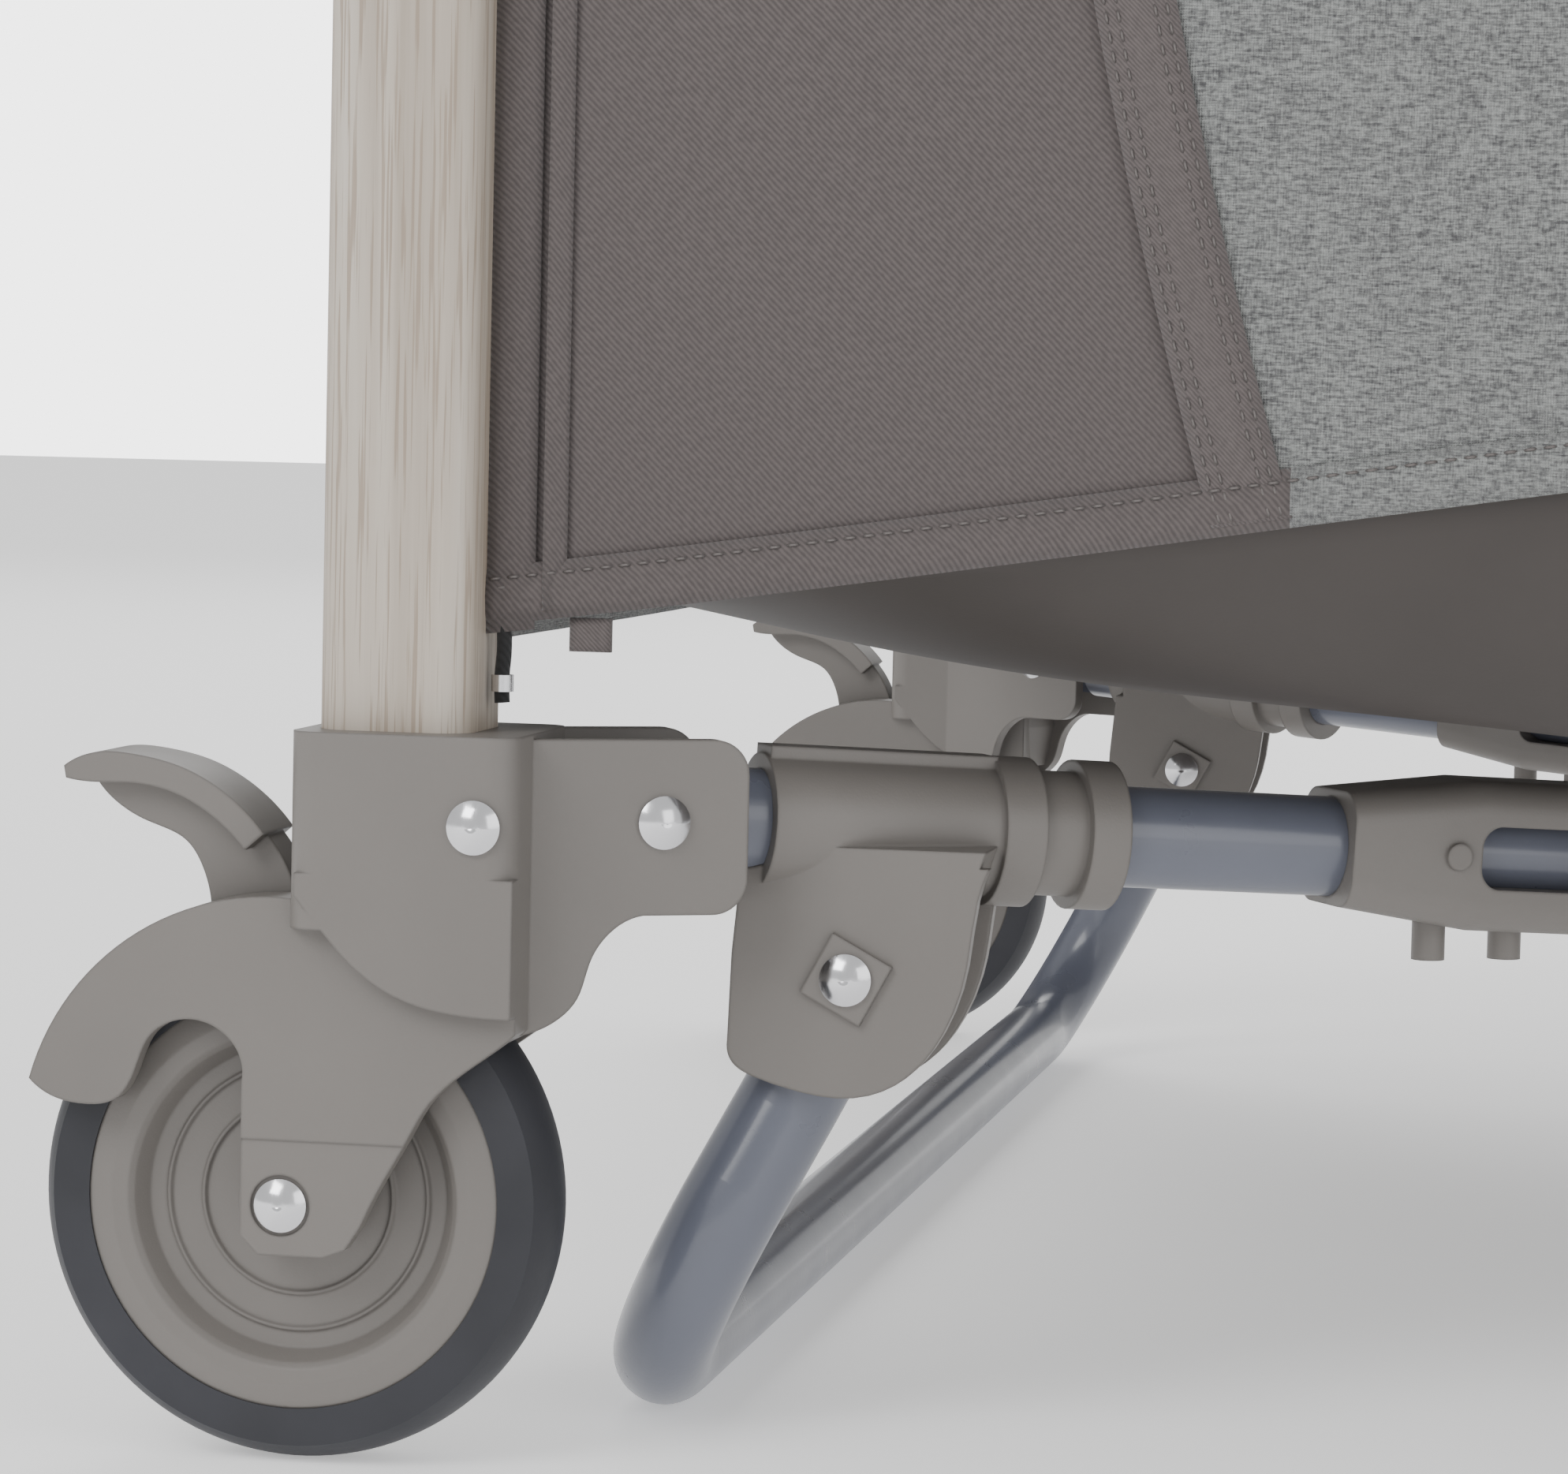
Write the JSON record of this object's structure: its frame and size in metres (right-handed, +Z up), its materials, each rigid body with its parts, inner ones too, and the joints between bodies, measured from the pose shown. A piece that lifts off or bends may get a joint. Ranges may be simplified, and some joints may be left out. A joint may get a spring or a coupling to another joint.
{
  "type": "folding playpen",
  "caption": "Folding playpen with wood-effect posts, wheeled end with brakes, diagonal base arms, swinging legs, fabric sides and a mat.",
  "frame": {"origin": "on the floor, at the middle of the overall box; the wheeled end is at -X", "axes": "+X along the long side towards the footed end, +Y across, +Z up"},
  "size_m": [1.289, 0.6904, 0.76],
  "materials": {
    "wood_effect": "light oak wood grain, satin lacquer",
    "moulded_plastic": "warm grey moulded plastic, fine texture",
    "powder_coated_tube": "blue-grey powder coat, semi-gloss",
    "dark_tube": "dark powder coat, semi-gloss",
    "polished_rivet": "polished steel",
    "rubber_tyre": "black rubber",
    "grey_twill": "taupe grey fine twill",
    "melange_fabric": "flecked grey melange weave",
    "underside_fabric": "dark brown underside cloth",
    "quilted_mat": "light grey quilted cloth",
    "black_webbing": "black webbing"
  },
  "bodies": {
    "wheel_end": {"post_near_left": "wood_effect", "post_far_left": "wood_effect", "corner_fitting_near_left": "moulded_plastic", "corner_fitting_far_left": "moulded_plastic", "corner_rivets_left": "polished_rivet", "corner_caps_left": "moulded_plastic", "end_rail_left": "dark_tube", "end_rail_cover_left": "grey_twill", "end_panel_left": "melange_fabric", "side_panel_near": "grey_twill", "side_panel_far": "grey_twill"},
    "wheel_near": {"wheel_hub_near": "moulded_plastic", "tyre_near": "rubber_tyre"},
    "wheel_far": {"wheel_hub_far": "moulded_plastic", "tyre_far": "rubber_tyre"},
    "brake_near": {"brake_lever_near": "moulded_plastic"},
    "brake_far": {"brake_lever_far": "moulded_plastic"},
    "left_arms": {"arm_near_left": "powder_coated_tube", "arm_far_left": "powder_coated_tube", "sleeves_left": "moulded_plastic", "couplers_left": "moulded_plastic", "leg_rivets_left": "polished_rivet", "hub_left": "moulded_plastic", "floor_left": "underside_fabric", "mat_left": "quilted_mat", "lift_strap": "black_webbing"},
    "leg_left": {"u_leg_left": "powder_coated_tube"},
    "right_arms": {"arm_near_right": "powder_coated_tube", "arm_far_right": "powder_coated_tube", "sleeves_right": "moulded_plastic", "couplers_right": "moulded_plastic", "leg_rivets_right": "polished_rivet", "hub_right": "moulded_plastic", "floor_right": "underside_fabric", "mat_right": "quilted_mat"},
    "leg_right": {"u_leg_right": "powder_coated_tube"},
    "foot_end": {"post_near_right": "wood_effect", "post_far_right": "wood_effect", "corner_fitting_near_right": "moulded_plastic", "corner_fitting_far_right": "moulded_plastic", "corner_rivets_right": "polished_rivet", "foot_pads": "rubber_tyre", "corner_caps_right": "moulded_plastic", "end_rail_right": "dark_tube", "end_rail_cover_right": "grey_twill", "end_panel_right": "melange_fabric"},
    "rail_near_a": {"rail_near_left": "dark_tube", "rail_cover_near_left": "grey_twill", "latch_near_left": "moulded_plastic"},
    "rail_near_b": {"rail_near_right": "dark_tube", "rail_cover_near_right": "grey_twill", "latch_near_right": "moulded_plastic"},
    "rail_far_a": {"rail_far_left": "dark_tube", "rail_cover_far_left": "grey_twill", "latch_far_left": "moulded_plastic"},
    "rail_far_b": {"rail_far_right": "dark_tube", "rail_cover_far_right": "grey_twill", "latch_far_right": "moulded_plastic"},
    "button_near": {"latch_button_near": "moulded_plastic"},
    "button_far": {"latch_button_far": "moulded_plastic"}
  },
  "joints": [
    {"name": "fold", "type": "hinge", "parent": "wheel_end", "child": "left_arms", "pos_m": [-0.54113, 0, 0.1172], "axis": [0, -1, 0], "range_deg": [0, 70], "deforming": ["side_panel_near", "side_panel_far"]},
    {"name": "hub_hinge", "type": "hinge", "parent": "left_arms", "child": "right_arms", "pos_m": [0.0215, 0, 0.076], "axis": [0, 1, 0], "range_deg": [0, 140]},
    {"name": "right_clevis", "type": "hinge", "parent": "right_arms", "child": "foot_end", "pos_m": [0.58413, 0, 0.1172], "axis": [0, -1, 0], "range_deg": [0, 70]},
    {"name": "rail_near_hinge", "type": "hinge", "parent": "wheel_end", "child": "rail_near_a", "pos_m": [-0.54113, -0.3216, 0.7088], "axis": [0, 1, 0], "range_deg": [0, 70]},
    {"name": "rail_near_middle", "type": "hinge", "parent": "rail_near_a", "child": "rail_near_b", "pos_m": [0.0215, -0.3216, 0.75], "axis": [0, -1, 0], "range_deg": [0, 140]},
    {"name": "wheel_near_spin", "type": "hinge", "parent": "wheel_end", "child": "wheel_near", "pos_m": [-0.5965, -0.3216, 0.048], "axis": [0, 1, 0], "continuous": true},
    {"name": "brake_near_press", "type": "hinge", "parent": "wheel_end", "child": "brake_near", "pos_m": [-0.6055, -0.3216, 0.1], "axis": [0, -1, 0], "range_deg": [0, 9]},
    {"name": "latch_near_press", "type": "slide", "parent": "rail_near_a", "child": "button_near", "axis": [0, 1, 0], "range_m": [0, 0.002], "stiffness_N_per_m": 400},
    {"name": "rail_far_hinge", "type": "hinge", "parent": "wheel_end", "child": "rail_far_a", "pos_m": [-0.54113, 0.3216, 0.7088], "axis": [0, 1, 0], "range_deg": [0, 70]},
    {"name": "rail_far_middle", "type": "hinge", "parent": "rail_far_a", "child": "rail_far_b", "pos_m": [0.0215, 0.3216, 0.75], "axis": [0, -1, 0], "range_deg": [0, 140]},
    {"name": "wheel_far_spin", "type": "hinge", "parent": "wheel_end", "child": "wheel_far", "pos_m": [-0.5965, 0.3216, 0.048], "axis": [0, 1, 0], "continuous": true},
    {"name": "brake_far_press", "type": "hinge", "parent": "wheel_end", "child": "brake_far", "pos_m": [-0.6055, 0.3216, 0.1], "axis": [0, -1, 0], "range_deg": [0, 9]},
    {"name": "latch_far_press", "type": "slide", "parent": "rail_far_a", "child": "button_far", "axis": [0, -1, 0], "range_m": [0, 0.002], "stiffness_N_per_m": 400},
    {"name": "leg_left_swing", "type": "hinge", "parent": "left_arms", "child": "leg_left", "pos_m": [-0.5025, 0, 0.088], "axis": [0, -1, 0], "range_deg": [0, 105]},
    {"name": "leg_right_swing", "type": "hinge", "parent": "right_arms", "child": "leg_right", "pos_m": [0.5455, 0, 0.088], "axis": [0, 1, 0], "range_deg": [0, 105]}
  ],
  "couplings": [
    {"joint": "hub_hinge", "follows": "fold", "ratio": 2},
    {"joint": "right_clevis", "follows": "fold", "ratio": 1},
    {"joint": "rail_near_hinge", "follows": "fold", "ratio": 1},
    {"joint": "rail_near_middle", "follows": "fold", "ratio": 2},
    {"joint": "rail_far_hinge", "follows": "fold", "ratio": 1},
    {"joint": "rail_far_middle", "follows": "fold", "ratio": 2}
  ]
}
